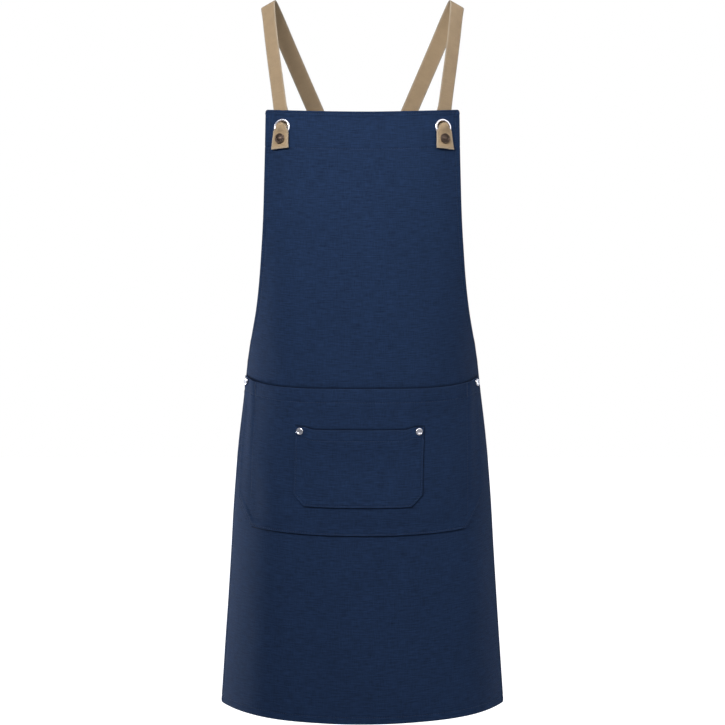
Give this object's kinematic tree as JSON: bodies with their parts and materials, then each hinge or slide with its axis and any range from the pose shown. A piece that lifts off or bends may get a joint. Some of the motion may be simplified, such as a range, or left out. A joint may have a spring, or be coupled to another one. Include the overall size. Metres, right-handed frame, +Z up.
{
  "type": "bib apron",
  "caption": "Cross-back bib apron in its worn form: navy canvas front, wide pocket with a smaller one sewn on it, and tan webbing straps through metal eyelets.",
  "frame": {"origin": "midway between the two places where the straps cross the shoulders, on the straps' undersides", "axes": "+Z up, the front faces -Y, +X to the right as seen from the front"},
  "size_m": [0.4196, 0.2477, 1.058],
  "materials": {
    "navy_cloth": "matt canvas with a fine plain weave",
    "tan_webbing": "matt flat-woven webbing",
    "nickel": "bright nickel plate",
    "dark_brass": "antique dark brass, satin"
  },
  "bodies": {
    "root": {"apron_front": "navy_cloth", "wide_pocket": "navy_cloth", "small_pocket": "navy_cloth", "strap_left": "tan_webbing", "strap_right": "tan_webbing", "wide_pocket_rivet_left": "nickel", "small_pocket_rivet_left": "nickel", "eyelet_left": "nickel", "snap_cap_left": "dark_brass", "snap_stud_left": "dark_brass", "wide_pocket_rivet_right": "nickel", "small_pocket_rivet_right": "nickel", "eyelet_right": "nickel", "snap_cap_right": "dark_brass", "snap_stud_right": "dark_brass"}
  },
  "joints": []
}
